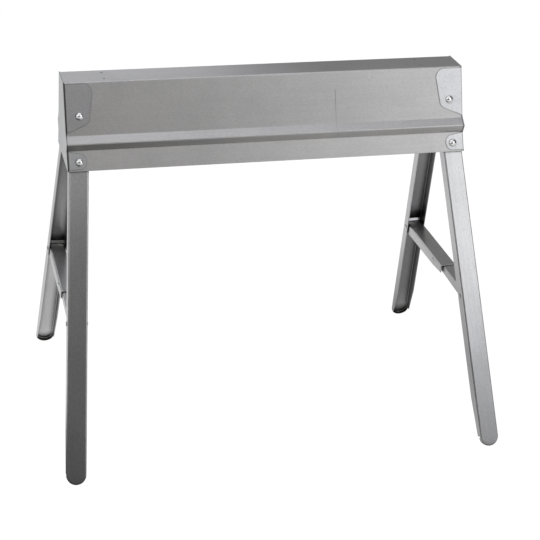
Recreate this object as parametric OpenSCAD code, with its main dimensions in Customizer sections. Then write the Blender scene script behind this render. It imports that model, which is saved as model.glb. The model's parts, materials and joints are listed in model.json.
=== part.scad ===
// Folding steel trestle for a building site: a pressed beam with four channel legs.
// Each end's two legs fold into the beam and are held apart by a hinged spreader.
// X runs along the beam, Y across it, and Z = 0 is the ground under the feet.

/* [Beam] */
// Length of the pressed beam, without its end plates
beam_len = 840; // [760:5:1000]
// Height of the beam's flat top above the ground
top_height = 760; // [700:5:800]
// Sheet thickness of the beam
beam_t = 1.5; // [1:0.1:2]
// Width of the flat top, from fold to fold
top_w = 75; // [70:1:100]
// Height of the upper side panel
upper_drop = 104; // [90:1:120]
// Lean of the upper side panel from upright, in degrees
upper_lean = 16.5; // [12:0.5:20]
// How far the stiffening rib stands out of the upper panel
rib_out = 16; // [10:1:20]
// Height of the rib's upper slope
rib_drop = 12.5; // [12:0.5:20]
// How far the sheet comes back in under the rib
rib_back = 8; // [4:1:10]
// Height of the rib's lower slope
rib_under = 16.5; // [16:0.5:26]
// Height of the lower side panel, where the legs pivot
lower_drop = 38; // [36:1:50]
// Inner radius of every fold in sheet
bend_r = 2; // [1:0.5:3]

/* [Nail holes] */
// Diameter of the holes for nailing a board to the flat top
nail_d = 5; // [3:0.5:8]
// Distance of the nail holes from the beam's ends
nail_inset = 84; // [70:1:120]
// Distance between the nail holes across the top
nail_pitch = 40; // [30:1:50]

/* [End plates] */
// Sheet thickness of the end plates and their ears
plate_t = 1.5; // [1:0.1:2]
// Width of the upper ear at its top
ear_w = 56; // [50:1:60]
// Width of the upper ear at its lower corner
ear_low_w = 47; // [44:1:50]
// Distance of the upper ear's top edge below the beam's fold
ear_top = 4; // [4:0.5:8]
// Distance of the upper ear's outer corner below the beam's fold
ear_corner_drop = 83; // [70:1:88]
// Distance of the upper ear's foot below the beam's fold, at the plate
ear_foot_drop = 103; // [92:1:104]
// Radius of the upper ear's top corner
ear_r = 18; // [10:1:22]
// Radius of the upper ear's lower corner
ear_low_r = 14; // [8:1:18]
// Distance of the ear rivet from the beam's end
ear_rivet_inset = 28; // [24:1:32]
// Distance of the ear rivet below the beam's fold
ear_rivet_drop = 69; // [50:1:72]
// Radius of the lower ear around the leg pivot
tab_r = 14.5; // [12:0.5:16]
// Clearance of the lower ear's top below the rib, at the plate
tab_gap = 1.5; // [1.5:0.5:5]

/* [Legs] */
// Outside width of the leg channel
leg_w = 41; // [36:1:42]
// Depth of the leg channel
leg_depth = 28; // [26:1:32]
// Sheet thickness of the legs
leg_t = 1.5; // [1:0.1:2]
// Lean of the lower panels and of the legs from upright, in degrees
leg_lean = 23; // [18:0.5:26]
// Splay of the legs along the beam, in degrees
leg_splay = 4.2; // [2:0.1:4.4]
// Clearance of the leg's round top from the end plate
leg_end_gap = 2.5; // [2.5:0.5:9]
// Height of the leg pivot above the beam's lower edge
pivot_rise = 17; // [15:0.5:18]
// Width of the notches that part the leg's flanges from its round foot
foot_notch = 3.5; // [2:0.5:8]
// Depth of the rim round the foot
foot_rim = 8.5; // [7:0.5:14]
// Depth of the leg's flanges at the foot
foot_flange = 16; // [14:0.5:26]
// Length over which the flanges grow from that depth to their full depth
flange_taper = 85; // [40:5:120]

/* [Spreaders] */
// Height of the spreader rivets above the ground
spreader_height = 298; // [250:1:340]
// Distance of the spreader rivet from the outer face of the leg
spreader_inset = 16; // [15.5:0.5:18]
// Clearance of the long link inside the back leg's flanges, on each side
link_side_gap = 1.5; // [1.2:0.1:3]
// Clearance of the short link inside the long link's flanges, on each side
nest_gap = 2.5; // [2:0.1:4]
// Sheet thickness of the links
link_t = 1.5; // [1:0.1:1.5]
// Height of a link's top face above its rivet
link_crown = 9; // [8:0.5:9]
// Depth of a link's flanges at the leg
link_depth = 24; // [20:0.5:25]
// How far the long link runs past the knee
overlap_len = 56; // [40:1:60]
// Distance of the short link's end from the knee
knee_gap = 23; // [20:1:28]

/* [Rivets] */
// Diameter of the leg pivot and ear rivets
pivot_d = 8; // [6:0.5:9]
// Head diameter of the leg pivot and ear rivets
pivot_head_d = 16; // [13:0.5:18]
// Diameter of the rivets that hold the links to the legs
link_rivet_d = 6; // [4:0.5:7]
// Head diameter of the rivets that hold the links to the legs
link_head_d = 9.5; // [9:0.5:12]
// Diameter of the knee rivets
knee_d = 5; // [4:0.5:6]
// Head diameter of the knee rivets
knee_head_d = 8; // [7.5:0.5:9]
// Thickness of the spacer rings between the beam and the legs
spacer_t = 2; // [1:0.1:3]
// Thickness of the washers under the pivot rivets' tails
washer_t = 1.5; // [1:0.1:2]

/* [Hidden] */
$fn = 48;
// Radial clearance of a rivet in its bore
fit = 0.05;
// Running clearance between flat faces that slide
slip = 0.2;
// Overrun of every cut
over = 5;
// Steps along the arc of a fold
fold_steps = 4;
// Head height of a rivet as a share of its head diameter
dome_share = 0.27;
// Tail diameter and tail height of a rivet as shares of its diameter
tail_d_share = 1.6;
tail_h_share = 0.35;
// Set-back of an end plate's rim from its ears' outer faces, and of the ears' ends from its own
rim_back = 0.1;
// Corner radius of the lower ear as a share of its own radius
tab_round_share = 0.95;
// Outside diameters of the spacer rings and washers as a share of the pivot rivet's
ring_d_share = 2.6;
// Thickness, height and place above the link rivet of the stop strap in each leg
strap_t = 4.5;
strap_h = 4.5;
strap_rise = 6.5;
// Sideways place of the short link and the clearance over its top
short_link_shift = 1.5;
short_link_clear = 0.6;
// Depth of the long link's flanges at the knee and at its free end
knee_flange = 22;
end_flange = 17;
// Depth of the short link's flanges at its free end
short_end_flange = 14;
// Width cut off one side of the short link's free end, and how far the cut reaches past the long link
relief_w = 8;
relief_past = 1;
// Length of a link behind its rivet and the radius of its lower corner there
link_tail = 9;
link_tail_r = 6;

// Right half of the beam's outside, from the top fold down: [Y, Z]
fold_top = [top_w / 2, top_height];
fold_upper = fold_top + [upper_drop * tan(upper_lean), -upper_drop];
fold_rib = fold_upper + [rib_out, -rib_drop];
fold_lower = fold_rib + [-rib_back, -rib_under];
beam_edge = fold_lower + [lower_drop * tan(leg_lean), -lower_drop];
half_path = [fold_top, fold_upper, fold_rib, fold_lower, beam_edge];
beam_path = concat(
    [for (i = [len(half_path) - 1 : -1 : 0]) [-half_path[i].x, half_path[i].y]],
    half_path);

// Leg pivot on the outside of the lower panel, at the right back corner
leg_r = leg_w / 2;
pivot_inset = leg_r + leg_end_gap;
pivot = [beam_len / 2 - pivot_inset,
    beam_edge.x - pivot_rise * tan(leg_lean),
    beam_edge.y + pivot_rise];
leg_gap = beam_t + spacer_t + slip;
// Height of the lower ear above the pivot, at the plate
tab_rise = (lower_drop - pivot_rise) / cos(leg_lean) - tab_gap;
// Length of the leg from its pivot to the centre of its round foot
leg_len = (pivot.z - (leg_gap + foot_rim) * sin(leg_lean) - leg_r * cos(leg_lean))
    / (cos(leg_splay) * cos(leg_lean));

// Spreader rivet in the right back leg, its distance down the leg, and its tilt
rivet_depth = leg_gap + spreader_inset;
rivet_drop = (pivot.z - rivet_depth * sin(leg_lean) - spreader_height)
    / (cos(leg_splay) * cos(leg_lean));
spreader = [pivot.x + rivet_drop * sin(leg_splay),
    pivot.y - rivet_depth * cos(leg_lean) + rivet_drop * cos(leg_splay) * sin(leg_lean),
    spreader_height];
spreader_tilt = atan(tan(leg_splay) * cos(leg_lean));
// Distance from a spreader rivet to the knee at the middle of the trestle
half_span = spreader.y;
// Outside widths of the links: the long one fits in the leg, the short one in the long one
long_link_w = leg_w - 2 * (leg_t + link_side_gap);
short_link_w = long_link_w - 2 * (link_t + nest_gap);

// Direction to the right of travel from a to b
function right_of(a, b) = let(d = (b - a) / norm(b - a)) [d.y, -d.x];

// Path moved to its right by a distance, with mitred corners
function moved_path(p, d) = let(last = len(p) - 1) [
    for (i = [0 : last])
        let(n0 = right_of(p[max(i - 1, 0)], p[max(i, 1)]),
            n1 = right_of(p[min(i, last - 1)], p[min(i + 1, last)]))
        p[i] + (n0 + n1) * d / (1 + n0 * n1)];

// Radius at each point of an open path: one for right turns, one for left turns
function fold_radii(p, right_r, left_r) = [
    for (i = [0 : len(p) - 1])
        (i == 0 || i == len(p) - 1) ? 0
        : cross(p[i] - p[i - 1], p[i + 1] - p[i]) < 0 ? right_r : left_r];

// Arc that rounds the corner b between a and c
function corner_arc(a, b, c, r) = let(
    u = (a - b) / norm(a - b),
    v = (c - b) / norm(c - b),
    inner = acos(u * v),
    centre = b + (u + v) / norm(u + v) * r / sin(inner / 2),
    from = b + u * r / tan(inner / 2) - centre,
    to = b + v * r / tan(inner / 2) - centre,
    sweep = 180 - inner)
    [for (k = [0 : fold_steps]) let(f = k / fold_steps)
        centre + (from * sin((1 - f) * sweep) + to * sin(f * sweep)) / sin(sweep)];

// Closed outline with each corner rounded by its own radius
function rounded(p, r) = let(n = len(p)) [
    for (i = [0 : n - 1])
        each r[i] == 0 ? [p[i]] : corner_arc(p[(i + n - 1) % n], p[i], p[(i + 1) % n], r[i])];

function reversed(p) = [for (i = [len(p) - 1 : -1 : 0]) p[i]];

// Section of folded sheet whose outside follows a path, with the hollow on its right
module sheet_section(path, t) {
    inside = moved_path(path, t);
    radii = concat(
        fold_radii(path, bend_r + t, bend_r),
        reversed(fold_radii(path, bend_r, bend_r + t)));
    polygon(rounded(concat(path, reversed(inside)), radii));
}

// Places children made for the right back corner at one of the four corners
module at_side(end, side) {
    mirror([end < 0 ? 1 : 0, 0, 0])
        mirror([0, side < 0 ? 1 : 0, 0])
            children();
}

// Frame of the lower panel at the leg pivot: Y out of the panel, Z up its slope
module at_pivot(end, side) {
    at_side(end, side)
        translate(pivot)
            rotate([leg_lean, 0, 0])
                children();
}

// Frame of the upper panel at the top fold and the beam's end
module at_upper(end, side) {
    at_side(end, side)
        translate([beam_len / 2, fold_top.x, fold_top.y])
            rotate([upper_lean, 0, 0])
                children();
}

// Frame of a leg: Y out of its web, Z up along it
module at_leg(end, side) {
    at_pivot(end, side)
        rotate([0, -leg_splay, 0])
            children();
}

// Frame of a spreader rivet: X along the rivet, -Y to the middle of the trestle
module at_spreader(end, side) {
    at_side(end, side)
        translate(spreader)
            rotate([0, -spreader_tilt, 0])
                children();
}

// Round-headed rivet along +Z: dome below Z = 0, shank through the grip, upset tail
module rivet(d, head_d, grip) {
    dome_h = head_d * dome_share;
    dome_r = (head_d * head_d / 4 + dome_h * dome_h) / (2 * dome_h);
    intersection() {
        translate([0, 0, dome_r - dome_h])
            sphere(r = dome_r);
        translate([0, 0, -dome_h])
            cylinder(d = head_d, h = dome_h);
    }
    cylinder(d = d, h = grip);
    translate([0, 0, grip])
        cylinder(d = d * tail_d_share, h = d * tail_h_share);
}

// Flat ring along +Z
module ring(d, bore, t) {
    difference() {
        cylinder(d = d, h = t);
        translate([0, 0, -over])
            cylinder(d = bore, h = t + 2 * over);
    }
}

// Bore along Y through a panel frame's origin
module panel_bore(d) {
    rotate([90, 0, 0])
        translate([0, 0, -over])
            cylinder(d = d + 2 * fit, h = 2 * over);
}

module beam_shell() {
    color("silver")
        difference() {
            translate([-beam_len / 2, 0, 0])
                rotate([90, 0, 90])
                    linear_extrude(beam_len)
                        sheet_section(beam_path, beam_t);
            for (end = [-1, 1], side = [-1, 1]) {
                at_pivot(end, side)
                    panel_bore(pivot_d);
                at_upper(end, side)
                    translate([-ear_rivet_inset, 0, -ear_rivet_drop])
                        panel_bore(pivot_d);
                translate([end * (beam_len / 2 - nail_inset), side * nail_pitch / 2, top_height - over])
                    cylinder(d = nail_d, h = 2 * over);
            }
        }
}

// End plate with two upper ears and two lower ears folded over the beam's panels
module end_plate(end) {
    rim = [for (p = moved_path(beam_path, rim_back - plate_t)) [p.x, min(p.y, top_height)]];
    ear_end = plate_t - rim_back;
    upper_ear = [[ear_end, -ear_top], [-ear_w, -ear_top],
        [-ear_low_w, -ear_corner_drop], [ear_end, -ear_foot_drop]];
    lower_ear = [[pivot_inset + ear_end, tab_rise], [-tab_r, tab_r],
        [-tab_r, -tab_r], [pivot_inset + ear_end, -tab_r]];
    color("lightgray")
        difference() {
            union() {
                at_side(end, 1)
                    translate([beam_len / 2, 0, 0])
                        rotate([90, 0, 90])
                            linear_extrude(plate_t)
                                polygon(rim);
                for (side = [-1, 1]) {
                    at_upper(end, side)
                        ear(rounded(upper_ear, [0, ear_r, ear_low_r, 0]));
                    at_pivot(end, side)
                        ear(rounded(lower_ear, [0, tab_r * tab_round_share, tab_r * tab_round_share, 0]));
                }
            }
            for (side = [-1, 1]) {
                at_pivot(end, side)
                    panel_bore(pivot_d);
                at_upper(end, side)
                    translate([-ear_rivet_inset, 0, -ear_rivet_drop])
                        panel_bore(pivot_d);
            }
        }
}

// Flat ear lying on the outside of a panel, from its outline in X and Z
module ear(outline) {
    translate([0, plate_t, 0])
        rotate([90, 0, 0])
            linear_extrude(plate_t)
                polygon(outline);
}

module end_plate_rivets() {
    color("white")
        for (end = [-1, 1], side = [-1, 1])
            at_upper(end, side)
                translate([-ear_rivet_inset, plate_t, -ear_rivet_drop])
                    rotate([90, 0, 0])
                        rivet(pivot_d, pivot_head_d, plate_t + beam_t);
}

module pivot_rivets(end) {
    grip = plate_t + leg_gap + leg_t + slip + washer_t;
    color("white")
        for (side = [-1, 1])
            at_pivot(end, side)
                translate([0, plate_t, 0])
                    rotate([90, 0, 0])
                        rivet(pivot_d, pivot_head_d, grip);
}

module pivot_spacers() {
    color("gray")
        for (end = [-1, 1], side = [-1, 1])
            at_pivot(end, side)
                translate([0, -beam_t, 0])
                    rotate([90, 0, 0])
                        ring(pivot_d * ring_d_share, pivot_d + 2 * fit, spacer_t);
}

module pivot_washers() {
    color("gray")
        for (end = [-1, 1], side = [-1, 1])
            at_pivot(end, side)
                translate([0, -leg_gap - leg_t - slip, 0])
                    rotate([90, 0, 0])
                        ring(pivot_d * ring_d_share, pivot_d + 2 * fit, washer_t);
}

// Pressed leg: a straight channel with a rim round both of its round ends, shallow at the foot
module leg_tray() {
    top_half = [[0, 0], [leg_r, 0], [leg_r, -leg_depth]];
    foot_half = [[0, 0], [leg_r, 0], [leg_r, -foot_rim]];
    full = [[-leg_r, -leg_depth], [-leg_r, 0], [leg_r, 0], [leg_r, -leg_depth]];
    translate([0, -leg_gap, 0]) {
        translate([0, 0, -leg_len])
            difference() {
                linear_extrude(leg_len)
                    sheet_section(full, leg_t);
                flange_tapers();
            }
        rotate([-90, 0, 0])
            rotate([0, 0, 180])
                rotate_extrude(angle = 180)
                    sheet_section(top_half, leg_t);
        translate([0, 0, -leg_len])
            rotate([-90, 0, 0])
                rotate_extrude(angle = 180)
                    sheet_section(foot_half, leg_t);
    }
}

// Wedge cut off a leg's flanges towards its foot, from the foot's centre up
module flange_tapers() {
    deep = -leg_depth - over;
    translate([-leg_w, 0, 0])
        rotate([90, 0, 90])
            linear_extrude(2 * leg_w)
                polygon([[-foot_flange, 0], [-leg_depth, flange_taper], [deep, flange_taper],
                    [deep, -over], [-foot_flange, -over]]);
}

// Notches that part a leg's straight flanges from the rim of its round foot
module foot_notches() {
    for (way = [-1, 1])
        translate([way * leg_r, -leg_gap - leg_depth / 2 - leg_t - bend_r, -leg_len])
            cube([2 * (leg_t + over), leg_depth, foot_notch], center = true);
}

module leg(end, side) {
    color("darkgray")
        difference() {
            at_leg(end, side)
                difference() {
                    leg_tray();
                    foot_notches();
                }
            at_pivot(end, side)
                translate([0, -leg_gap, 0])
                    panel_bore(pivot_d);
            at_spreader(end, side)
                cross_bore(link_rivet_d, leg_w);
        }
}

// Bore along X through a spreader frame's origin
module cross_bore(d, w) {
    rotate([0, 90, 0])
        cylinder(d = d + 2 * fit, h = w + 2 * over, center = true);
}

// Strap across the inside of a leg's web that stops the link from dropping
module stop_strap(end, side) {
    strap_w = leg_w - 2 * (leg_t + bend_r);
    color("gray")
        at_leg(end, side)
            translate([-strap_w / 2, -leg_gap - leg_t - strap_t, strap_rise - rivet_drop])
                cube([strap_w, strap_t, strap_h]);
}

module link_rivet(end, side) {
    color("white")
        at_spreader(end, side)
            translate([-leg_r - slip, 0, 0])
                rotate([0, 90, 0])
                    rivet(link_rivet_d, link_head_d, leg_w + 2 * slip);
}

// Folded link along -Y from its rivet, cut to a side outline in Y and Z
module link_channel(w, crown, reach, side_outline) {
    intersection() {
        translate([0, link_tail, 0])
            rotate([90, 0, 0])
                linear_extrude(link_tail + reach)
                    sheet_section([[-w / 2, crown - link_depth], [-w / 2, crown],
                        [w / 2, crown], [w / 2, crown - link_depth]], link_t);
        translate([-w, 0, 0])
            rotate([90, 0, 90])
                linear_extrude(2 * w)
                    polygon(side_outline);
    }
}

// Long link on the back leg: its top and flanges run past the knee over the short link
module long_link(end) {
    reach = half_span + overlap_len;
    outline = [[link_tail, link_crown], [link_tail, link_crown - link_depth],
        [-half_span, link_crown - knee_flange],
        [-reach, link_crown - end_flange], [-reach, link_crown]];
    color("silver")
        at_spreader(end, 1)
            difference() {
                link_channel(long_link_w, link_crown, reach,
                    rounded(outline, [0, link_tail_r, 0, 0, 0]));
                cross_bore(link_rivet_d, long_link_w);
                translate([0, -half_span, 0])
                    cross_bore(knee_d, long_link_w);
            }
}

// Short link on the front leg: it nests under the end of the long link
module short_link(end) {
    reach = half_span - knee_gap;
    crown = link_crown - link_t - short_link_clear;
    outline = [[link_tail, crown], [link_tail, link_crown - link_depth],
        [-reach, crown - short_end_flange], [-reach, crown]];
    color("silver")
        at_spreader(end, -1)
            difference() {
                translate([short_link_shift, 0, 0])
                    link_channel(short_link_w, crown, reach,
                        rounded(outline, [0, link_tail_r, 0, 0]));
                translate([short_link_shift - short_link_w / 2 - over, -reach - over,
                        crown - link_depth - over])
                    cube([over + relief_w, over + overlap_len - knee_gap + relief_past,
                        link_depth + 2 * over]);
                cross_bore(link_rivet_d, long_link_w);
            }
}

module knee_rivets(end) {
    color("white")
        at_spreader(end, 1)
            for (way = [0, 1])
                mirror([way, 0, 0])
                    translate([-long_link_w / 2, -half_span, 0])
                        rotate([0, 90, 0])
                            rivet(knee_d, knee_head_d, link_t);
}

beam_shell();
end_plate(-1);  // left_end_plate
end_plate(1);  // right_end_plate
end_plate_rivets();
pivot_rivets(-1);  // left_pivot_rivets
pivot_rivets(1);  // right_pivot_rivets
pivot_spacers();
pivot_washers();
leg(-1, -1);  // left_front_leg
leg(-1, 1);  // left_back_leg
leg(1, -1);  // right_front_leg
leg(1, 1);  // right_back_leg
stop_strap(-1, -1);  // left_front_stop_strap
stop_strap(-1, 1);  // left_back_stop_strap
stop_strap(1, -1);  // right_front_stop_strap
stop_strap(1, 1);  // right_back_stop_strap
link_rivet(-1, -1);  // left_front_link_rivet
link_rivet(-1, 1);  // left_back_link_rivet
link_rivet(1, -1);  // right_front_link_rivet
link_rivet(1, 1);  // right_back_link_rivet
long_link(-1);  // left_long_link
long_link(1);  // right_long_link
short_link(-1);  // left_short_link
short_link(1);  // right_short_link
knee_rivets(-1);  // left_knee_rivets
knee_rivets(1);  // right_knee_rivets
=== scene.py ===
import json
import math

import bmesh
import bpy
from mathutils import Matrix, Vector


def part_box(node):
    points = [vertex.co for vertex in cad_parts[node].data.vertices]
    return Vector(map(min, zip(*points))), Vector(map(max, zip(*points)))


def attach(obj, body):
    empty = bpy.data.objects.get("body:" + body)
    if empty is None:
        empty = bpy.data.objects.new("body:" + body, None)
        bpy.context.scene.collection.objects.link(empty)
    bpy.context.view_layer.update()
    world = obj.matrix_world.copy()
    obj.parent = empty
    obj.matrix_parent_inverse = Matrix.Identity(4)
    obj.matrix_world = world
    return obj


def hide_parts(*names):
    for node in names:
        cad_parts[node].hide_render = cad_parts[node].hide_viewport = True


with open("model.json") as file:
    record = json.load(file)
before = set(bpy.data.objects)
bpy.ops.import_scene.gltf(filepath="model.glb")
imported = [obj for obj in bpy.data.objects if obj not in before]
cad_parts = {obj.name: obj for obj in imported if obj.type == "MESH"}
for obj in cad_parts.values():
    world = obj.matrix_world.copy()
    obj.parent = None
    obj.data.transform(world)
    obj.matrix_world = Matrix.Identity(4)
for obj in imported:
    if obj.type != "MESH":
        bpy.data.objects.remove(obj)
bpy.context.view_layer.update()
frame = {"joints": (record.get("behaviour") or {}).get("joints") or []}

# Camera: it stands in front of the trestle, a little to its left and above it, as the photograph
# was taken, and is turned a degree or two about its own axis.
CAMERA_LENS_MM = 107.0
CAMERA_DISTANCE = 3.537
CAMERA_AIM = Vector((0.0269, 0, 0.2981))
CAMERA_AZIMUTH = math.radians(-13.58)
CAMERA_RISE = math.radians(24.30)
CAMERA_ROLL = math.radians(1.74)

bpy.ops.object.select_all(action="DESELECT")
bpy.ops.object.camera_add()
camera = bpy.context.object
camera.name = "photo_camera"
camera.data.lens = CAMERA_LENS_MM
towards_camera = Vector((
    math.sin(CAMERA_AZIMUTH) * math.cos(CAMERA_RISE),
    -math.cos(CAMERA_AZIMUTH) * math.cos(CAMERA_RISE),
    math.sin(CAMERA_RISE)))
camera_turn = towards_camera.to_track_quat("Z", "Y").to_matrix() @ Matrix.Rotation(CAMERA_ROLL, 3, "Z")
camera.matrix_world = (
    Matrix.Translation(CAMERA_AIM + towards_camera * CAMERA_DISTANCE) @ camera_turn.to_4x4())
bpy.context.scene.camera = camera

# Pressed beam: one rolled steel sheet, folded along its length to a flat top, two leaning sides
# with a stiffening rib each, and two lower panels that the legs turn against. Nail holes are
# punched through the top near each end.
SHEET = 0.0015
FOLD_R = 0.002
FOLD_STEPS = 6
CUT_EDGE = 0.0003
CUT_STEPS = 2
CUT_ANGLE = math.radians(40)
SMOOTH_ANGLE = math.radians(50)
DRILL_SIDES = 32
DRILL_DEPTH = 0.02
TOUCH = 1e-5
BEAM_LOW, BEAM_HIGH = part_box("beam_shell")
BEAM_LEN = BEAM_HIGH.x - BEAM_LOW.x
TOP_Z = BEAM_HIGH.z
TOP_W = 0.075
UPPER_LEAN = math.radians(16.5)
LOWER_LEAN = math.radians(23)
UPPER_DROP = 0.104
LOWER_DROP = 0.038
RIB_UPPER = Vector((0.016, -0.0125))
RIB_LOWER = Vector((-0.008, -0.0165))
# Steps down one side of the beam, each as outwards and upwards
PANELS = [
    Vector((UPPER_DROP * math.tan(UPPER_LEAN), -UPPER_DROP)),
    RIB_UPPER,
    RIB_LOWER,
    Vector((LOWER_DROP * math.tan(LOWER_LEAN), -LOWER_DROP))]
NAIL_R = 0.0025
NAIL_INSET = 0.084
NAIL_PITCH = 0.040


def near(a, b):
    """Whether two measures agree."""
    return abs(a - b) < TOUCH


def open_piece(name):
    """Names the primitive just added, fixes its size and place, and opens it for editing."""
    piece = bpy.context.object
    piece.name = name
    bpy.ops.object.transform_apply(location=True, rotation=True, scale=True)
    bpy.ops.object.mode_set(mode="EDIT")
    return piece


def pick(kind, test):
    """Selects the open piece's vertices, edges or faces that pass a test."""
    bpy.ops.mesh.select_mode(type=kind)
    bpy.ops.mesh.select_all(action="DESELECT")
    data = bpy.context.edit_object.data
    mesh = bmesh.from_edit_mesh(data)
    for part in {"VERT": mesh.verts, "EDGE": mesh.edges, "FACE": mesh.faces}[kind]:
        if test(part):
            part.select_set(True)
    mesh.select_flush_mode()
    bmesh.update_edit_mesh(data)


def pull(x=0, y=0, z=0):
    """Extrudes what is picked."""
    bpy.ops.mesh.extrude_region_move(TRANSFORM_OT_translate={"value": (x, y, z)})


def pull_rim(x=0, y=0, z=0):
    """Extrudes the picked edges only, and leaves the faces between them."""
    bpy.ops.mesh.extrude_edges_move(TRANSFORM_OT_translate={"value": (x, y, z)})


def close_piece():
    """Turns the open piece's faces outwards and ends its editing."""
    bpy.ops.mesh.select_all(action="SELECT")
    bpy.ops.mesh.normals_make_consistent(inside=False)
    bpy.ops.object.mode_set(mode="OBJECT")


def modify(piece, kind, **settings):
    """Adds a modifier with its settings and applies it."""
    bpy.context.view_layer.objects.active = piece
    modifier = piece.modifiers.new(kind.lower(), kind)
    for name, value in settings.items():
        setattr(modifier, name, value)
    bpy.ops.object.modifier_apply(modifier=modifier.name)


def cut(piece, cutters):
    """Cuts the shapes of the cutters out of a piece."""
    bpy.ops.object.select_all(action="DESELECT")
    for cutter in cutters:
        cutter.select_set(True)
    bpy.context.view_layer.objects.active = cutters[0]
    if len(cutters) > 1:
        bpy.ops.object.join()
    modify(piece, "BOOLEAN", object=cutters[0], operation="DIFFERENCE", solver="EXACT")
    bpy.data.objects.remove(cutters[0])


def drill_bit(centre, along, radius, depth=DRILL_DEPTH):
    """A round cutter through a point."""
    bpy.ops.object.select_all(action="DESELECT")
    bpy.ops.mesh.primitive_cylinder_add(
        vertices=DRILL_SIDES, radius=radius, depth=depth, location=centre,
        rotation=Vector(along).to_track_quat("Z", "Y").to_euler())
    return bpy.context.object


def dress(piece, material, body, nodes):
    """Breaks a piece's cut edges, smooths its folds, gives it its finish and sets it on its body."""
    modify(piece, "BEVEL", width=CUT_EDGE, segments=CUT_STEPS, limit_method="ANGLE", angle_limit=CUT_ANGLE)
    bpy.ops.object.select_all(action="DESELECT")
    piece.select_set(True)
    bpy.context.view_layer.objects.active = piece
    bpy.ops.object.shade_smooth_by_angle(angle=SMOOTH_ANGLE)
    modify(piece, "WEIGHTED_NORMAL", keep_sharp=True)
    piece.data.materials.clear()
    piece.data.materials.append(material)
    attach(piece, body)
    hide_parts(*nodes)


bpy.ops.object.select_all(action="DESELECT")
bpy.ops.mesh.primitive_plane_add(size=1, location=(0, 0, TOP_Z))
bpy.context.object.scale = (BEAM_LEN, TOP_W, 1)
beam = open_piece("folded_beam")
for side in (1, -1):
    pick("EDGE", lambda edge: all(near(vert.co.y, side * TOP_W / 2) for vert in edge.verts))
    for panel in PANELS:
        pull(0, side * panel.x, panel.y)
fold = Vector((TOP_W / 2, TOP_Z))
beam_folds = [fold.copy()]
travel = Vector((1, 0))
for panel in PANELS:
    turn = travel.angle(panel)
    outside_r = FOLD_R + SHEET if travel.cross(panel) < 0 else FOLD_R
    pick("EDGE", lambda edge: all(
        near(abs(vert.co.y), fold.x) and near(vert.co.z, fold.y) for vert in edge.verts))
    bpy.ops.mesh.bevel(offset=outside_r * math.tan(turn / 2), segments=FOLD_STEPS, affect="EDGES")
    travel = panel
    fold = fold + panel
    beam_folds.append(fold.copy())
close_piece()
modify(beam, "SOLIDIFY", thickness=SHEET, offset=-1, use_even_offset=True)
cut(beam, [
    drill_bit((end * (BEAM_LEN / 2 - NAIL_INSET), side * NAIL_PITCH / 2, TOP_Z), (0, 0, 1), NAIL_R)
    for end in (-1, 1) for side in (-1, 1)])


def new_group(name, inputs, outputs):
    """An empty shader group with named inputs, each with its kind, and named outputs."""
    group = bpy.data.node_groups.new(name, "ShaderNodeTree")
    for label, kind in inputs:
        group.interface.new_socket(label, in_out="INPUT", socket_type=kind)
    for label in outputs:
        group.interface.new_socket(label, in_out="OUTPUT", socket_type="NodeSocketFloat")
    return group, group.nodes.new("NodeGroupInput"), group.nodes.new("NodeGroupOutput")


def add_node(tree, kind, **settings):
    """A node with its settings: attributes by name, and unlinked inputs by their label."""
    node = tree.nodes.new(kind)
    for name, value in settings.items():
        if hasattr(node, name):
            setattr(node, name, value)
        else:
            node.inputs[name].default_value = value
    return node


NOISE_ROUGHNESS = 0.6


def stretched_noise(tree, vector, stretch, detail):
    """Noise with its own scale along each axis."""
    scaled = add_node(tree, "ShaderNodeVectorMath", operation="MULTIPLY")
    scaled.inputs[1].default_value = stretch
    tree.links.new(vector, scaled.inputs[0])
    noise = add_node(tree, "ShaderNodeTexNoise", Scale=1.0, Detail=detail, Roughness=NOISE_ROUGHNESS)
    tree.links.new(scaled.outputs[0], noise.inputs["Vector"])
    return noise.outputs["Fac"]


def eased(tree, value, low, high):
    """A value's soft step from 0 at low to 1 at high."""
    step = add_node(tree, "ShaderNodeMapRange", interpolation_type="SMOOTHSTEP")
    step.inputs["From Min"].default_value = low
    step.inputs["From Max"].default_value = high
    tree.links.new(value, step.inputs["Value"])
    return step.outputs["Result"]


def combined(tree, operation, a, b):
    """The sum, product or like of two values."""
    node = add_node(tree, "ShaderNodeMath", operation=operation)
    for socket, value in zip(node.inputs, (a, b)):
        if isinstance(value, (int, float)):
            socket.default_value = value
        else:
            tree.links.new(value, socket)
    return node.outputs[0]


def weighed(tree, *parts):
    """The sum of some values, each times its weight."""
    total = 0
    for value, weight in parts:
        total = combined(tree, "ADD", total, combined(tree, "MULTIPLY", value, weight))
    return total


def object_xyz(tree):
    """The three parts of a piece's own coordinates."""
    place = tree.nodes.new("ShaderNodeTexCoord")
    parts = tree.nodes.new("ShaderNodeSeparateXYZ")
    tree.links.new(place.outputs["Object"], parts.inputs[0])
    return parts.outputs


# Mill grain that every rolled sheet here shows: broad and fine lines along the rolling direction, a
# fine speckle, cloudy patches that oil and handling have dulled, and a few scuffs across the grain.
BROAD_LINES = (3, 140, 140)
FINE_LINES = (7, 900, 900)
CLOUDS = (5, 6, 6)
SCUFF_LINES = (520, 24, 60)
SCUFF_SPOTS = (16, 16, 16)
SPECKLE = (190, 330, 330)
BROAD_WEIGHT = 0.6
FINE_WEIGHT = 0.4
LINES_WEIGHT = 0.3
CLOUDS_WEIGHT = 0.15
SPECKLE_WEIGHT = 0.55
mill_grain, grain_in, grain_out = new_group(
    "mill_grain", [("Vector", "NodeSocketVector")], ["Tone", "Lines", "Scuffs"])
grain_at = grain_in.outputs["Vector"]
grain_lines = weighed(
    mill_grain,
    (stretched_noise(mill_grain, grain_at, BROAD_LINES, 4), BROAD_WEIGHT),
    (stretched_noise(mill_grain, grain_at, FINE_LINES, 2), FINE_WEIGHT))
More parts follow.
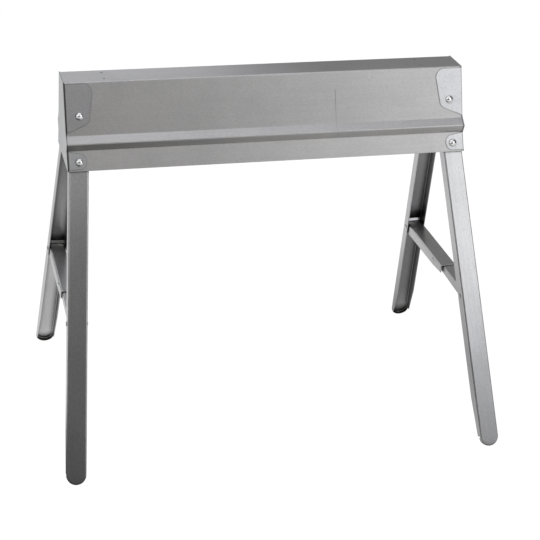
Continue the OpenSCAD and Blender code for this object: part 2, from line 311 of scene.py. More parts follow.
clouds = eased(mill_grain, stretched_noise(mill_grain, grain_at, CLOUDS, 3), 0.3, 0.7)
speckle = stretched_noise(mill_grain, grain_at, SPECKLE, 3)
scuff_lines = eased(mill_grain, stretched_noise(mill_grain, grain_at, SCUFF_LINES, 2), 0.62, 0.72)
scuff_spots = eased(mill_grain, stretched_noise(mill_grain, grain_at, SCUFF_SPOTS, 2), 0.52, 0.66)
mill_grain.links.new(grain_lines, grain_out.inputs["Lines"])
mill_grain.links.new(
    weighed(mill_grain, (grain_lines, LINES_WEIGHT), (clouds, CLOUDS_WEIGHT), (speckle, SPECKLE_WEIGHT)),
    grain_out.inputs["Tone"])
mill_grain.links.new(
    combined(mill_grain, "MULTIPLY", scuff_lines, scuff_spots), grain_out.inputs["Scuffs"])

# Tone of the painted shade: corners and the left ear folds are darkened towards it.
SHADE_TONE = (0.06, 0.055, 0.05, 1)
CORNER_SHADE_FULL = 0.36
CORNER_SHADE_NONE = 0.96
CORNER_SAMPLES = 8
TONE_DULL = 0.3
TONE_BRIGHT = 0.7
SCUFF_ROUGHNESS = 0.12
GRAIN_RELIEF = 0.00002


def mixed_tone(tree, share, none, full):
    """The colour between two others: each is a colour or comes from a node."""
    mix = add_node(tree, "ShaderNodeMix", data_type="RGBA")
    tree.links.new(share, mix.inputs[0])
    for socket, value in ((mix.inputs[6], none), (mix.inputs[7], full)):
        if isinstance(value, tuple):
            socket.default_value = value
        else:
            tree.links.new(value, socket)
    return mix.outputs[2]


def rolled_steel(name, dull, bright, smooth, rough, grain_turn=(0, 0, 0), corner_reach=0.004):
    """Bare rolled sheet: its grain varies two tones and two roughnesses, and painted shade from ambient
    occlusion darkens its corners.
    """
    material = bpy.data.materials.new(name)
    material.use_nodes = True
    tree = material.node_tree
    shader = tree.nodes["Principled BSDF"]
    shader.inputs["Metallic"].default_value = 1
    place = tree.nodes.new("ShaderNodeTexCoord")
    turned = add_node(tree, "ShaderNodeMapping", vector_type="TEXTURE")
    turned.inputs["Rotation"].default_value = grain_turn
    tree.links.new(place.outputs["Object"], turned.inputs["Vector"])
    grain = add_node(tree, "ShaderNodeGroup", node_tree=mill_grain)
    tree.links.new(turned.outputs["Vector"], grain.inputs["Vector"])
    tone = eased(tree, grain.outputs["Tone"], TONE_DULL, TONE_BRIGHT)
    tint = mixed_tone(tree, tone, (*dull, 1), (*bright, 1))
    # Painted shade: ambient occlusion darkens the base colour in corners and next to other parts.
    corners = add_node(tree, "ShaderNodeAmbientOcclusion", samples=CORNER_SAMPLES, Distance=corner_reach)
    unshaded = eased(tree, corners.outputs["AO"], CORNER_SHADE_FULL, CORNER_SHADE_NONE)
    tree.links.new(mixed_tone(tree, unshaded, SHADE_TONE, tint), shader.inputs["Base Color"])
    gloss = add_node(tree, "ShaderNodeMapRange")
    gloss.inputs["To Min"].default_value = rough
    gloss.inputs["To Max"].default_value = smooth
    tree.links.new(grain.outputs["Lines"], gloss.inputs["Value"])
    tree.links.new(weighed(tree, (gloss.outputs["Result"], 1), (grain.outputs["Scuffs"], SCUFF_ROUGHNESS)),
                   shader.inputs["Roughness"])
    bump = add_node(tree, "ShaderNodeBump", Strength=1.0, Distance=GRAIN_RELIEF)
    tree.links.new(grain.outputs["Lines"], bump.inputs["Height"])
    tree.links.new(bump.outputs["Normal"], shader.inputs["Normal"])
    return material


beam_steel = rolled_steel(
    "beam_steel", dull=(0.56, 0.555, 0.55), bright=(0.67, 0.66, 0.65), smooth=0.38, rough=0.48)
SCRATCH_X = 0.1431
SCRATCH_LOW = 0.605
SCRATCH_HIGH = 0.7243
SCRATCH_W = 0.0009
SCRATCH_TONE = (0.22, 0.21, 0.205, 1)


def darken(material, mask, tone):
    """Gives a finished metal another tone where a mask says so."""
    tree = material.node_tree
    colour = tree.nodes["Principled BSDF"].inputs["Base Color"]
    tree.links.new(mixed_tone(tree, mask, colour.links[0].from_socket, tone), colour)


def add_scratch(material):
    """A thin dark scratch down the front of the beam, right of its middle."""
    tree = material.node_tree
    at = object_xyz(tree)
    aside = combined(tree, "ABSOLUTE", combined(tree, "SUBTRACT", at["X"], SCRATCH_X), 0)
    mask = combined(tree, "LESS_THAN", aside, SCRATCH_W / 2)
    in_front = combined(tree, "LESS_THAN", at["Y"], 0)
    fading = eased(tree, at["Z"], SCRATCH_LOW, SCRATCH_HIGH)
    below_top = combined(tree, "LESS_THAN", at["Z"], SCRATCH_HIGH)
    for share in (in_front, fading, below_top):
        mask = combined(tree, "MULTIPLY", mask, share)
    darken(material, mask, SCRATCH_TONE)


add_scratch(beam_steel)
dress(beam, beam_steel, "beam", ["beam_shell"])

# End plates: a blanked steel plate closes each end of the beam. Its four ears are folded over
# the beam's sides, two large upper ones and two small lower ones round the leg pivots.
EAR_BEND_R = 0.003
EAR_W = 0.056
EAR_LOW_W = 0.047
EAR_TOP = 0.004
EAR_CORNER_DROP = 0.083
EAR_FOOT_DROP = 0.103
EAR_R = 0.018
EAR_LOW_R = 0.014
JOINTS = {joint["name"]: joint for joint in frame["joints"]}
PIVOT = Vector(JOINTS["right_back_fold"]["pos_m"])
TAB_R = 0.0145
TAB_GAP = 0.0015
TAB_ROUND_SHARE = 0.95
CORNER_STEPS = 10
EAR_RIVET_INSET = 0.028
EAR_RIVET_DROP = 0.069
RIVET_D = 0.008
PLATE_X = BEAM_LEN / 2 + SHEET
ENDS = ((-1, "left"), (1, "right"))


def panel_out(lean):
    """Direction out of a leaning panel, as Y and Z."""
    return Vector((math.cos(lean), math.sin(lean)))


def panel_down(lean):
    """Direction down a leaning panel, as Y and Z."""
    return Vector((math.sin(lean), -math.cos(lean)))


def offset_outside(points, distance):
    """An outline moved outwards by a distance, with mitred corners."""
    moved = []
    for i, point in enumerate(points):
        ahead = (points[min(i + 1, len(points) - 1)] - points[min(i, len(points) - 2)]).normalized()
        behind = (points[max(i, 1)] - points[max(i - 1, 0)]).normalized()
        out_behind = Vector((-behind.y, behind.x))
        out_ahead = Vector((-ahead.y, ahead.x))
        moved.append(point + (out_behind + out_ahead) * distance / (1 + out_behind.dot(out_ahead)))
    return moved


plate_folds = offset_outside(beam_folds, SHEET)
upper_start = beam_folds[0] + panel_out(UPPER_LEAN) * SHEET
pivot_face = Vector((PIVOT.y, PIVOT.z)) + panel_out(LOWER_LEAN) * SHEET
# Half widths and heights of the plate from the top down, with the ears' ends among them
top_edge = plate_folds[0] + panel_down(UPPER_LEAN) * (plate_folds[0].y - TOP_Z) / math.cos(UPPER_LEAN)
ear_top = upper_start + panel_down(UPPER_LEAN) * EAR_TOP
ear_foot = upper_start + panel_down(UPPER_LEAN) * EAR_FOOT_DROP
tab_rise = (beam_folds[3].y - PIVOT.z) / math.cos(LOWER_LEAN) - TAB_GAP
tab_top = pivot_face - panel_down(LOWER_LEAN) * tab_rise
tab_foot = pivot_face + panel_down(LOWER_LEAN) * TAB_R
plate_rows = [top_edge, ear_top, ear_foot, *plate_folds[1:4], tab_top, tab_foot, plate_folds[4]]


def round_corner(corner, radius):
    """Rounds the open piece's outline at one of its corners."""
    pick("VERT", lambda vert: (vert.co - corner).length < TOUCH)
    mesh = bmesh.from_edit_mesh(bpy.context.edit_object.data)
    vert = next(vert for vert in mesh.verts if vert.select)
    a, b = [edge.other_vert(vert).co - vert.co for edge in vert.link_edges]
    bpy.ops.mesh.bevel(affect="VERTICES", offset=radius / math.tan(a.angle(b) / 2), segments=CORNER_STEPS)


def fold_ear(side, start, stop, reach, corners):
    """Pulls an ear out of the plate's side edge, then moves and rounds its two outer corners."""
    pick("EDGE", lambda edge: all(vert.co.y * side > 0 and stop.y - TOUCH < vert.co.z < start.y + TOUCH
                                  and near(vert.co.x, PLATE_X) for vert in edge.verts))
    pull(-reach)
    for row, (x, place, radius) in zip((start, stop), corners):
        pick("VERT", lambda vert: near(vert.co.x, PLATE_X - reach) and near(vert.co.y, side * row.x)
             and near(vert.co.z, row.y))
        old = Vector((PLATE_X - reach, side * row.x, row.y))
        new = Vector((x, side * place.x, place.y))
        bpy.ops.transform.translate(value=new - old)
        round_corner(new, radius)


def mirror_copy(piece, name, end, side):
    """A copy of a right back piece, with its own mesh, for the end and side given by their signs."""
    twin = piece.copy()
    twin.data = piece.data.copy()
    twin.name = name
    bpy.context.collection.objects.link(twin)
    twin.data.transform(Matrix.Diagonal((end, side, 1, 1)))
    if end * side < 0:
        twin.data.flip_normals()
    return twin


bpy.ops.object.select_all(action="DESELECT")
bpy.ops.mesh.primitive_plane_add(
    size=1, location=(PLATE_X, 0, (top_edge.y + ear_top.y) / 2), rotation=(math.pi / 2, 0, math.pi / 2))
bpy.context.object.scale = (2 * top_edge.x, top_edge.y - ear_top.y, 1)
end_plate = open_piece("right_cap_blank")
pick("EDGE", lambda edge: all(near(vert.co.z, ear_top.y) for vert in edge.verts))
bpy.ops.transform.resize(value=(1, ear_top.x / top_edge.x, 1))
for above, below in zip(plate_rows[1:], plate_rows[2:]):
    pull(0, 0, below.y - above.y)
    bpy.ops.transform.resize(value=(1, below.x / above.x, 1))
for side in (1, -1):
    ear_corner = upper_start + panel_down(UPPER_LEAN) * EAR_CORNER_DROP
    fold_ear(side, ear_top, ear_foot, EAR_W + SHEET,
             [(BEAM_LEN / 2 - EAR_W, ear_top, EAR_R),
              (BEAM_LEN / 2 - EAR_LOW_W, ear_corner, EAR_LOW_R)])
    fold_ear(side, tab_top, tab_foot, PLATE_X - PIVOT.x + TAB_R,
             [(PIVOT.x - TAB_R, pivot_face - panel_down(LOWER_LEAN) * TAB_R, TAB_R * TAB_ROUND_SHARE),
              (PIVOT.x - TAB_R, tab_foot, TAB_R * TAB_ROUND_SHARE)])
pick("EDGE", lambda edge: edge.is_manifold and edge.verts[0].co.y * edge.verts[1].co.y > 0
     and all(near(vert.co.x, PLATE_X) for vert in edge.verts))
bpy.ops.mesh.bevel(offset=EAR_BEND_R, segments=FOLD_STEPS, affect="EDGES")
bpy.ops.object.mode_set(mode="OBJECT")
modify(end_plate, "SOLIDIFY", thickness=SHEET, offset=-1, use_even_offset=True)
ear_face = upper_start + panel_down(UPPER_LEAN) * EAR_RIVET_DROP
ear_rivet = Vector((BEAM_LEN / 2 - EAR_RIVET_INSET, *ear_face))
pivot_rivet = Vector((PIVOT.x, *pivot_face))
UPPER_OUT = Vector((0, *panel_out(UPPER_LEAN)))
LOWER_OUT = Vector((0, *panel_out(LOWER_LEAN)))


def at_corner(vector, end, side):
    """A right back place or direction, moved to the end and side given by their signs."""
    return Vector((vector.x * end, vector.y * side, vector.z))


cut(end_plate, [
    drill_bit(at_corner(place, 1, side), at_corner(out, 1, side), RIVET_D / 2)
    for place, out in ((ear_rivet, UPPER_OUT), (pivot_rivet, LOWER_OUT)) for side in (-1, 1)])
plate_steel = rolled_steel(
    "plate_steel", dull=(0.585, 0.59, 0.60), bright=(0.74, 0.745, 0.755), smooth=0.32, rough=0.42,
    grain_turn=(0, math.pi / 2, 0))
# Band of painted shade at the left plate's ear folds.
FOLD_SHADE_OUT = 0.0006
FOLD_SHADE_IN = 0.0022
FOLD_SHADE_EDGE = 0.0006
FOLD_SHADE_SHARE = 0.9


def add_fold_shade(material):
    """Painted shade along the folds of the left plate's ears, where the bend mirrors dark surroundings."""
    tree = material.node_tree
    along = object_xyz(tree)["X"]
    shade_from = -BEAM_LEN / 2 - FOLD_SHADE_OUT
    shade_to = -BEAM_LEN / 2 + FOLD_SHADE_IN
    past_face = eased(tree, along, shade_from - FOLD_SHADE_EDGE, shade_from)
    past_fold = eased(tree, along, shade_to, shade_to + FOLD_SHADE_EDGE)
    darken(material, weighed(tree, (past_face, FOLD_SHADE_SHARE), (past_fold, -FOLD_SHADE_SHARE)), SHADE_TONE)


add_fold_shade(plate_steel)
for end, name in ENDS:
    dress(mirror_copy(end_plate, f"{name}_cap_plate", end, 1), plate_steel, "beam",
          [f"{name}_end_plate"])
bpy.data.objects.remove(end_plate)

# Rivets of the ears and leg pivots: turned steel with smooth domed heads outside. The ear rivets
# clamp the plate to the beam, and the pivot rivets also carry the legs, over a spacer and a washer.
HEAD_D = 0.016
DOME_SHARE = 0.27
LAND_SHARE = 0.06
TAIL_D_SHARE = 1.6
TAIL_H_SHARE = 0.35
DOME_STEPS = 10
DOME_FLAT = 0.5
TAIL_TIP_SHARE = 0.8
ROUND_SIDES = 48
FACING = 0.9
SLIP = 0.0002
SPACER_T = 0.002
WASHER_T = 0.0015
LEG_GAP = SHEET + SPACER_T + SLIP
CORNERS = [(end, side, f"{end_name}_{side_name}")
           for end, end_name in ENDS for side, side_name in ((-1, "front"), (1, "back"))]


def grow(radius_from, radius_to):
    """Widens or narrows what is picked about its own middle, across Z."""
    share = radius_to / radius_from
    bpy.ops.transform.resize(value=(share, share, 1))


def make_rivet(name, d, head_d, grip):
    """A rivet along Z: domed head below zero, shank through the grip, upset tail."""
    bpy.ops.object.select_all(action="DESELECT")
    bpy.ops.mesh.primitive_cylinder_add(
        vertices=ROUND_SIDES, radius=d / 2, depth=grip, location=(0, 0, grip / 2))
    rivet = open_piece(name)
    head_r = head_d / 2
    land = head_d * LAND_SHARE
    rise = head_d * DOME_SHARE - land
    ball_r = (head_r * head_r + rise * rise) / (2 * rise)
    widest = math.asin(head_r / ball_r)
    pick("FACE", lambda face: face.normal.z < -FACING)
    pull()
    grow(d / 2, head_r)
    pull(0, 0, -land)
    ring_r, depth = head_r, land
    for step in range(1, DOME_STEPS + 1):
        angle = widest * (1 - step / (DOME_STEPS + DOME_FLAT))
        new_depth = land + rise - ball_r * (1 - math.cos(angle))
        pull(0, 0, depth - new_depth)
        grow(ring_r, ball_r * math.sin(angle))
        ring_r, depth = ball_r * math.sin(angle), new_depth
    pick("FACE", lambda face: face.normal.z > FACING and near(face.calc_center_median().z, grip))
    tail_r = d * TAIL_D_SHARE / 2
    pull()
    grow(d / 2, tail_r)
    pull(0, 0, d * TAIL_H_SHARE / 2)
    pull(0, 0, d * TAIL_H_SHARE / 2)
    grow(tail_r, tail_r * TAIL_TIP_SHARE)
    close_piece()
    return rivet


def around(place, out, corners):
    """A right back place and its outward direction, at each of some corners."""
    return [(at_corner(place, end, side), at_corner(out, end, side)) for end, side, *_ in corners]


def set_in(blank, name, places):
    """Copies of a blank that is modelled along Z, joined: each is set at a place, facing outwards."""
    twins = []
    for place, out in places:
        twin = mirror_copy(blank, name, 1, 1)
        turn_in = (-out).to_track_quat("Z", "Y").to_matrix().to_4x4()
        twin.data.transform(Matrix.Translation(place) @ turn_in)
        twins.append(twin)
    bpy.ops.object.select_all(action="DESELECT")
    for twin in twins:
        twin.select_set(True)
    bpy.context.view_layer.objects.active = twins[0]
    if len(twins) > 1:
        bpy.ops.object.join()
    return twins[0]


TARNISH_SCALE = 260.0
TARNISH_SHARES = (0.85, 0.85, 0.84)


def turned_steel(name, tone, smooth, rough):
    """Smooth turned or headed steel, with faint cloudy tarnish."""
    material = bpy.data.materials.new(name)
    material.use_nodes = True
    tree = material.node_tree
    shader = tree.nodes["Principled BSDF"]
    shader.inputs["Metallic"].default_value = 1
    place = tree.nodes.new("ShaderNodeTexCoord")
    tarnish = add_node(
        tree, "ShaderNodeTexNoise", Scale=TARNISH_SCALE, Detail=4.0, Roughness=NOISE_ROUGHNESS)
    tree.links.new(place.outputs["Object"], tarnish.inputs["Vector"])
    tarnished = (*(tone * share for share in TARNISH_SHARES), 1)
    tree.links.new(mixed_tone(tree, tarnish.outputs["Fac"], tarnished, (tone, tone, tone, 1)),
                   shader.inputs["Base Color"])
    gloss = add_node(tree, "ShaderNodeMapRange")
    gloss.inputs["To Min"].default_value = rough
    gloss.inputs["To Max"].default_value = smooth
    tree.links.new(tarnish.outputs["Fac"], gloss.inputs["Value"])
    tree.links.new(gloss.outputs["Result"], shader.inputs["Roughness"])
    return material


rivet_steel = turned_steel("rivet_steel", tone=0.97, smooth=0.14, rough=0.2)
ear_blank = make_rivet("ear_rivet_blank", RIVET_D, HEAD_D, 2 * SHEET)
ear_pins = set_in(ear_blank, "ear_pins", around(ear_rivet, UPPER_OUT, CORNERS))
dress(ear_pins, rivet_steel, "beam", ["end_plate_rivets"])
bpy.data.objects.remove(ear_blank)
washer_depth = SHEET + LEG_GAP + SHEET + SLIP
pivot_blank = make_rivet("pivot_rivet_blank", RIVET_D, HEAD_D, washer_depth + WASHER_T)
for end, name in ENDS:
    pins = set_in(pivot_blank, f"{name}_pivot_pins", around(pivot_rivet, LOWER_OUT, [(end, -1), (end, 1)]))
    dress(pins, rivet_steel, "beam", [f"{name}_pivot_rivets"])
bpy.data.objects.remove(pivot_blank)

# Spacer rings and washers on the pivot rivets: flat steel rings, one between the beam and each
# leg, and one under each rivet's tail, so that the leg turns freely.
RING_SHARE = 2.6
RING_SLIP = 0.0001
RING_D = RIVET_D * RING_SHARE
RING_BORE = RIVET_D + RING_SLIP


def make_ring(name, thickness):
    """A flat ring along Z, from zero up."""
    bpy.ops.object.select_all(action="DESELECT")
    bpy.ops.mesh.primitive_circle_add(vertices=ROUND_SIDES, radius=RING_D / 2, fill_type="NOTHING")
    ring = open_piece(name)
    pick("EDGE", lambda edge: True)
    pull_rim()
    grow(RING_D, RING_BORE)
    pick("FACE", lambda face: True)
    bpy.ops.mesh.normals_make_consistent(inside=False)
    pull(0, 0, thickness)
    close_piece()
    return ring


ring_steel = turned_steel("ring_steel", tone=0.56, smooth=0.28, rough=0.42)
for name, node, thickness, depth in (
        ("spacer_rings", "pivot_spacers", SPACER_T, 2 * SHEET),
        ("tail_washers", "pivot_washers", WASHER_T, washer_depth)):
    ring_blank = make_ring(f"{name}_blank", thickness)
    rings = set_in(ring_blank, name, around(pivot_rivet - LOWER_OUT * depth, LOWER_OUT, CORNERS))
    dress(rings, ring_steel, "beam", [node])
    bpy.data.objects.remove(ring_blank)

# Legs: each is one pressed channel of the same sheet, with a round rim at both ends. Small notches
# part the straight flanges from the rim of the foot. The open side faces the middle of the trestle.
LEG_W = 0.041
LEG_R = LEG_W / 2
LEG_DEPTH = 0.028
LEG_SPLAY = math.radians(4.2)
FOOT_NOTCH = 0.0035
FOOT_RIM = 0.0085
FOOT_FLANGE = 0.016
FLANGE_TAPER = 0.085
FOOT_STEPS = 16
LINK_RIVET_D = 0.006
# The foot's rim just meets the ground
LEG_LEN = ((PIVOT.z - (LEG_GAP + FOOT_RIM) * math.sin(LOWER_LEAN) - LEG_R * math.cos(LOWER_LEAN))
           / (math.cos(LEG_SPLAY) * math.cos(LOWER_LEAN)))
LEG_FRAME = (Matrix.Translation(PIVOT) @ Matrix.Rotation(LOWER_LEAN, 4, "X")
             @ Matrix.Rotation(-LEG_SPLAY, 4, "Y"))
LINK_PIN = Vector(JOINTS["right_long_swing"]["pos_m"])
LINK_PIN_ALONG = -Vector(JOINTS["right_long_swing"]["axis"])

bpy.ops.object.select_all(action="DESELECT")
bpy.ops.mesh.primitive_plane_add(
    size=1, location=(0, -LEG_GAP, -LEG_LEN / 2), rotation=(-math.pi / 2, 0, 0))
bpy.context.object.scale = (LEG_W, LEG_LEN + LEG_W, 1)
leg = open_piece("leg_blank")
bpy.ops.mesh.select_all(action="SELECT")
bpy.ops.mesh.bevel(affect="VERTICES", offset=LEG_R, segments=FOOT_STEPS)
bpy.ops.mesh.remove_doubles(threshold=TOUCH)
pick("EDGE", lambda edge: edge.is_boundary)
pull_rim(0, -LEG_DEPTH)
pick("EDGE", lambda edge: not edge.is_boundary and all(
    near(vert.co.y, -LEG_GAP) for vert in edge.verts))
bpy.ops.mesh.bevel(offset=FOLD_R + SHEET, segments=FOLD_STEPS, affect="EDGES")
close_piece()
modify(leg, "SOLIDIFY", thickness=SHEET, offset=-1, use_even_offset=True)


def block(low, high):
    """A box-shaped cutter between two corners."""
    low, high = Vector(low), Vector(high)
    bpy.ops.object.select_all(action="DESELECT")
    bpy.ops.mesh.primitive_cube_add(size=1, location=(low + high) / 2)
    bpy.context.object.scale = high - low
    bpy.ops.object.transform_apply(location=True, rotation=True, scale=True)
    return bpy.context.object


past_flange = -LEG_GAP - 2 * LEG_DEPTH
taper = block(
    (-LEG_W, past_flange, -LEG_LEN), (LEG_W, -LEG_GAP - FOOT_FLANGE, -LEG_LEN + FLANGE_TAPER))
bpy.ops.object.mode_set(mode="EDIT")
pick("VERT", lambda vert: vert.co.y > past_flange + TOUCH and vert.co.z > -LEG_LEN + TOUCH)
bpy.ops.transform.translate(value=(0, FOOT_FLANGE - LEG_DEPTH, 0))
bpy.ops.object.mode_set(mode="OBJECT")
cut(leg, [taper])
cut(leg, [block(
    (-LEG_W, past_flange, -LEG_LEN - LEG_W), (LEG_W, -LEG_GAP - FOOT_RIM, -LEG_LEN))])
cut(leg, [block((way * LEG_R - 2 * SHEET, past_flange, -LEG_LEN - FOOT_NOTCH / 2),
                (way * LEG_R + 2 * SHEET, -LEG_GAP - SHEET - FOLD_R, -LEG_LEN + FOOT_NOTCH / 2))
          for way in (-1, 1)])
leg.data.transform(LEG_FRAME)
cut(leg, [drill_bit(PIVOT - LOWER_OUT * LEG_GAP, LOWER_OUT, RIVET_D / 2),
          drill_bit(LINK_PIN, LINK_PIN_ALONG, LINK_RIVET_D / 2, depth=2 * LEG_W)])
# Painted shade reaches further out of the corners of the right pair, so they are darker copies of the same
# steel
CORNER_SHADE_REACH = {-1: 0.028, 1: 0.033}
for end, side, name in CORNERS:
    along_leg = at_corner(LEG_FRAME.to_3x3() @ Vector((0, 0, 1)), end, side)
    leg_steel = rolled_steel(
        f"{name}_leg_steel", dull=(0.585, 0.585, 0.59), bright=(0.73, 0.73, 0.735), smooth=0.26, rough=0.36,
        grain_turn=along_leg.to_track_quat("X", "Z").to_euler(), corner_reach=CORNER_SHADE_REACH[end])
    dress(mirror_copy(leg, f"{name}_channel", end, side), leg_steel, f"{name}_leg",
          [f"{name}_leg"])
bpy.data.objects.remove(leg)

# Stop straps: a short bright steel bar across the inside of each leg, just above the spreader's
# rivet, welded to the channel's floor and sloped in front. The spreader link lies just under it.
STRAP_T = 0.0045
STRAP_H = 0.0045
STRAP_RISE = 0.0065
STRAP_TOP_T = 0.0007
strap_w = LEG_W - 2 * (SHEET + FOLD_R)
strap_floor = -LEG_GAP - SHEET
strap_low = (LEG_FRAME.inverted() @ LINK_PIN).z + STRAP_RISE

bpy.ops.object.select_all(action="DESELECT")
bpy.ops.mesh.primitive_plane_add(
    size=1, location=(0, strap_floor - STRAP_T, strap_low + STRAP_H / 2), rotation=(math.pi / 2, 0, 0))
bpy.context.object.scale = (strap_w, STRAP_H, 1)
strap = open_piece("strap_blank")
bpy.ops.mesh.select_all(action="SELECT")
pull(0, STRAP_T)
pick("VERT", lambda vert: vert.co.y < strap_floor - TOUCH and vert.co.z > strap_low + TOUCH)
bpy.ops.transform.translate(value=(0, STRAP_T - STRAP_TOP_T, 0))
close_piece()
strap.data.transform(LEG_FRAME)
strap_steel = rolled_steel(
    "strap_steel", dull=(0.88, 0.88, 0.885), bright=(0.95, 0.95, 0.955), smooth=0.14, rough=0.24,
    corner_reach=0.0005)
for end, side, name in CORNERS:
    dress(mirror_copy(strap, f"{name}_strap", end, side), strap_steel, f"{name}_leg",
          [f"{name}_stop_strap"])
bpy.data.objects.remove(strap)

# Link rivets: one steel rivet through both flanges of each leg and the spreader link between them,
# with its head towards the middle of the trestle and its upset tail outside. The link turns on it.
LINK_HEAD_D = 0.0095
link_blank = make_rivet("link_rivet_blank", LINK_RIVET_D, LINK_HEAD_D, LEG_W + 2 * SLIP)
for end, side, name in CORNERS:
    pin_head = LINK_PIN - LINK_PIN_ALONG * (LEG_R + SLIP)
    pin = set_in(link_blank, f"{name}_link_pin", around(pin_head, -LINK_PIN_ALONG, [(end, side)]))
    dress(pin, rivet_steel, f"{name}_leg", [f"{name}_link_rivet"])
bpy.data.objects.remove(link_blank)

# Spreader links: steel channels folded from sheet, which hold each end's two legs apart. The long one
# rides on the back leg and runs past the knee, and the short one on the front leg nests under its end.
LINK_SIDE_GAP = 0.0015
NEST_GAP = 0.0025
LINK_CROWN = 0.009
LINK_DEPTH = 0.024
LINK_TAIL = 0.009
LINK_TAIL_R = 0.006
OVERLAP = 0.056
KNEE_GAP = 0.023
KNEE_FLANGE = 0.022
END_FLANGE = 0.017
SHORT_END_FLANGE = 0.014
RELIEF_W = 0.008
RELIEF_PAST = -0.012
KNEE_D = 0.005
SHORT_SHIFT = 0.0015
SHORT_CLEAR = 0.0006
HALF_SPAN = LINK_PIN.y
LONG_W = LEG_W - 2 * (SHEET + LINK_SIDE_GAP)
SHORT_W = LONG_W - 2 * (SHEET + NEST_GAP)
LINK_FRAME = Matrix.Translation(LINK_PIN) @ Matrix.Rotation(-math.asin(LINK_PIN_ALONG.z), 4, "Y")


def make_link(name, width, shift, crown, stations):
    """A channel along -Y, open below: each station is its Y and the level of its lower edges."""
    bpy.ops.object.select_all(action="DESELECT")
    first, second = stations[0][0], stations[1][0]
    bpy.ops.mesh.primitive_plane_add(size=1, location=(shift, (first + second) / 2, crown))
    bpy.context.object.scale = (width, first - second, 1)
    link = open_piece(name)
    pick("EDGE", lambda edge: all(near(vert.co.y, second) for vert in edge.verts))
    for here, there in zip(stations[1:], stations[2:]):
        pull(0, there[0] - here[0])
    for way in (-1, 1):
        pick("EDGE", lambda edge: all(near(vert.co.x, shift + way * width / 2) for vert in edge.verts))
        pull(0, 0, -LINK_DEPTH)
        for y, level in stations:
            pick("VERT", lambda vert: near(vert.co.x, shift + way * width / 2) and near(vert.co.y, y)
                 and near(vert.co.z, crown - LINK_DEPTH))
            bpy.ops.transform.translate(value=(0, 0, level - crown + LINK_DEPTH))
        round_corner(Vector((shift + way * width / 2, first, stations[0][1])), LINK_TAIL_R)
    pick("EDGE", lambda edge: edge.is_manifold and near(edge.verts[0].co.x, edge.verts[1].co.x) and all(
        near(abs(vert.co.x - shift), width / 2) and near(vert.co.z, crown) for vert in edge.verts))
    bpy.ops.mesh.bevel(offset=FOLD_R + SHEET, segments=FOLD_STEPS, affect="EDGES")
    close_piece()
    modify(link, "SOLIDIFY", thickness=SHEET, offset=-1, use_even_offset=True)
    cut(link, [drill_bit((0, 0, 0), (1, 0, 0), LINK_RIVET_D / 2, depth=2 * LEG_W)])
    return link


link_low = LINK_CROWN - LINK_DEPTH
long_link = make_link("long_link_blank", LONG_W, 0, LINK_CROWN, [
    (LINK_TAIL, link_low),
    (-HALF_SPAN, LINK_CROWN - KNEE_FLANGE),
    (-HALF_SPAN - OVERLAP, LINK_CROWN - END_FLANGE)])
cut(long_link, [drill_bit((0, -HALF_SPAN, 0), (1, 0, 0), KNEE_D / 2, depth=2 * LEG_W)])
long_link.data.transform(LINK_FRAME)
short_crown = LINK_CROWN - SHEET - SHORT_CLEAR
short_link = make_link("short_link_blank", SHORT_W, SHORT_SHIFT, short_crown, [
    (LINK_TAIL, link_low),
    (-HALF_SPAN + KNEE_GAP, short_crown - SHORT_END_FLANGE)])
short_corner = Vector((SHORT_SHIFT - SHORT_W / 2, -HALF_SPAN + KNEE_GAP, 0))
relief = Vector((RELIEF_W, OVERLAP - KNEE_GAP + RELIEF_PAST, LINK_DEPTH))
cut(short_link, [block(short_corner - relief, short_corner + relief)])
short_link.data.transform(LINK_FRAME)
link_steel = rolled_steel(
    "link_steel", dull=(0.62, 0.62, 0.62), bright=(0.78, 0.78, 0.775), smooth=0.28, rough=0.4,
    grain_turn=(0, 0, math.pi / 2), corner_reach=0.012)
for end, name in ENDS:
    dress(mirror_copy(long_link, f"{name}_long_channel", end, 1), link_steel, f"{name}_long_link",
          [f"{name}_long_link"])
    dress(mirror_copy(short_link, f"{name}_short_channel", end, -1), link_steel, f"{name}_short_link",
          [f"{name}_short_link"])
bpy.data.objects.remove(long_link)
bpy.data.objects.remove(short_link)

# Knee rivets: a small domed steel rivet in each flange of the long link, where the spreader bends.
# They are set from outside and upset inside the flange.
KNEE_HEAD_D = 0.008
knee_blank = make_rivet("knee_rivet_blank", KNEE_D, KNEE_HEAD_D, SHEET)
for end, name in ENDS:
    knees = set_in(knee_blank, f"{name}_knee_pins", [
        (at_corner(LINK_FRAME @ Vector((way * LONG_W / 2, -HALF_SPAN, 0)), end, 1),
         at_corner(LINK_PIN_ALONG * way, end, 1)) for way in (-1, 1)])
    dress(knees, rivet_steel, f"{name}_long_link", [f"{name}_knee_rivets"])
bpy.data.objects.remove(knee_blank)

# Floor: a wide white matt sheet that keeps the trestle's shadow. For glossy and transmission rays it glows
# in painted zones, a painted reflection that the steel mirrors: dark close in front on the left, and
# brighter elsewhere.
FLOOR_SIZE = 60
FLOOR_TONE = (0.8, 0.8, 0.8, 1)
TO_RIGHT = (-0.4, 0.5)
TO_MIDDLE = (-0.25, 0.15)
TO_BACK = (0.3, 0.9)
TO_FRONT = (1.1, 2.4)
FRONT_LEVEL = 1
NEAR_LEFT = 0.045
NEAR_RIGHT = 0.58
MID_LEFT = 0.95
MID_RIGHT = 0.38
BACK_LEVEL = 0.8
CAMERA_LEVEL = 1.16
GLOW_SHARE = 0.85
bpy.ops.object.select_all(action="DESELECT")
bpy.ops.mesh.primitive_plane_add(size=FLOOR_SIZE)
floor = bpy.context.object
floor.name = "studio_floor"
floor_white = bpy.data.materials.new("floor_white")
floor_white.use_nodes = True
tree = floor_white.node_tree
tree.nodes.remove(tree.nodes["Principled BSDF"])
matt = add_node(tree, "ShaderNodeBsdfDiffuse", Color=FLOOR_TONE)
ray = tree.nodes.new("ShaderNodeLightPath")
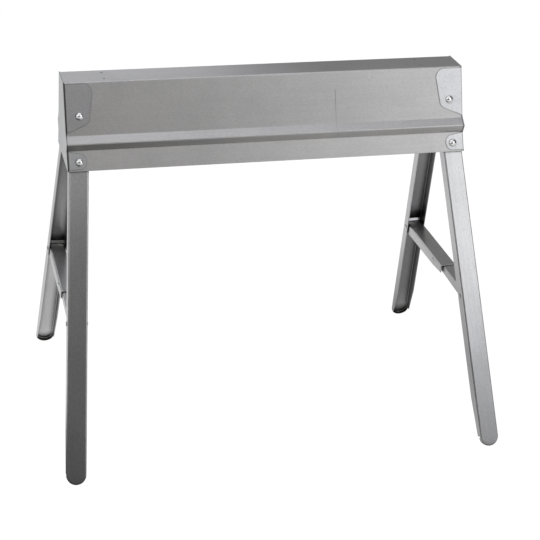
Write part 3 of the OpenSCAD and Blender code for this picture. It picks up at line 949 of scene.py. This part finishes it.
glow = add_node(tree, "ShaderNodeEmission", Color=(1, 1, 1, 1))
spot = object_xyz(tree)
right_share = eased(tree, spot["X"], *TO_RIGHT)
left_share = combined(tree, "SUBTRACT", 1, right_share)
past_share = eased(tree, spot["Y"], *TO_MIDDLE)
back_share = eased(tree, spot["Y"], *TO_BACK)
front_share = eased(tree, combined(tree, "MULTIPLY", spot["Y"], -1), *TO_FRONT)
mid_share = combined(tree, "SUBTRACT", past_share, back_share)
near_share = combined(tree, "SUBTRACT", combined(tree, "SUBTRACT", 1, past_share), front_share)
# Painted glow of the floor in reflections: one level per zone, lowest near the left front.
level = weighed(
    tree, (front_share, FRONT_LEVEL),
    (near_share, weighed(tree, (left_share, NEAR_LEFT), (right_share, NEAR_RIGHT))),
    (mid_share, weighed(tree, (left_share, MID_LEFT), (right_share, MID_RIGHT))),
    (back_share, BACK_LEVEL))
beyond = combined(tree, "MAXIMUM", ray.outputs["Is Glossy Ray"], ray.outputs["Is Transmission Ray"])
mirrored = combined(tree, "MULTIPLY", beyond, level)
direct = combined(tree, "MULTIPLY", ray.outputs["Is Camera Ray"], CAMERA_LEVEL)
tree.links.new(combined(tree, "MAXIMUM", mirrored, direct), glow.inputs["Strength"])
seen = combined(tree, "MAXIMUM", ray.outputs["Is Camera Ray"], beyond)
mixed = tree.nodes.new("ShaderNodeMixShader")
tree.links.new(combined(tree, "MULTIPLY", seen, GLOW_SHARE), mixed.inputs[0])
tree.links.new(matt.outputs[0], mixed.inputs[1])
tree.links.new(glow.outputs[0], mixed.inputs[2])
tree.links.new(mixed.outputs[0], tree.nodes["Material Output"].inputs["Surface"])
floor.data.materials.append(floor_white)

# Studio light: a strong soft box and a low strip in front on the right, weaker boxes in front and at
# the side on the left, two overhead and two behind, in a dim grey room.
ROOM_TONE = (0.07, 0.067, 0.065, 1)


def soft_box(name, place, aim, width, height, level, tint=(1, 1, 1)):
    """A rectangular lamp of an even brightness and tint."""
    bpy.ops.object.select_all(action="DESELECT")
    bpy.ops.object.light_add(type="AREA", location=place)
    lamp = bpy.context.object
    lamp.name = name
    lamp.data.shape = "RECTANGLE"
    lamp.data.size = width
    lamp.data.size_y = height
    lamp.data.energy = level * math.pi * width * height
    lamp.data.color = tint
    lamp.rotation_euler = (Vector(place) - Vector(aim)).to_track_quat("Z", "Y").to_euler()


soft_box("front_right_box", (1.45, -1.8, 1.75), (0.2, 0, 0.55), 1.7, 1.6, 1.33, (0.977, 0.987, 1))
soft_box("front_right_strip", (1.45, -1.9, 0.75), (0.2, 0, 0.55), 1.6, 0.7, 0.56, (0.93, 0.945, 1))
soft_box("front_left_box", (-0.5, -2.0, 2.3), (0, 0, 0.6), 1.8, 1.4, 0.55)
soft_box("left_box", (-1.6, -1.35, 1.8), (0, 0, 0.6), 1.6, 1.5, 0.85)
soft_box("overhead_box", (0.1, -0.7, 2.7), (0.1, -0.2, 0), 2.6, 1.6, 0.875, (0.914, 0.931, 1))
soft_box("overhead_back_box", (0.1, 1.0, 2.6), (0.1, 0, 0), 2.6, 1.4, 0.75, (0.95, 0.963, 1))
soft_box("back_left_box", (-0.45, 2.4, 1.5), (0, 0, 0.6), 2.0, 1.4, 0.82, (0.917, 0.937, 1))
soft_box("back_right_box", (1.6, 2.0, 1.5), (0.2, 0, 0.5), 1.8, 1.4, 0.16)
world = bpy.data.worlds.new("studio_room")
bpy.context.scene.world = world
world.use_nodes = True
world.node_tree.nodes["Background"].inputs["Color"].default_value = ROOM_TONE
bpy.context.scene.view_settings.view_transform = "Standard"
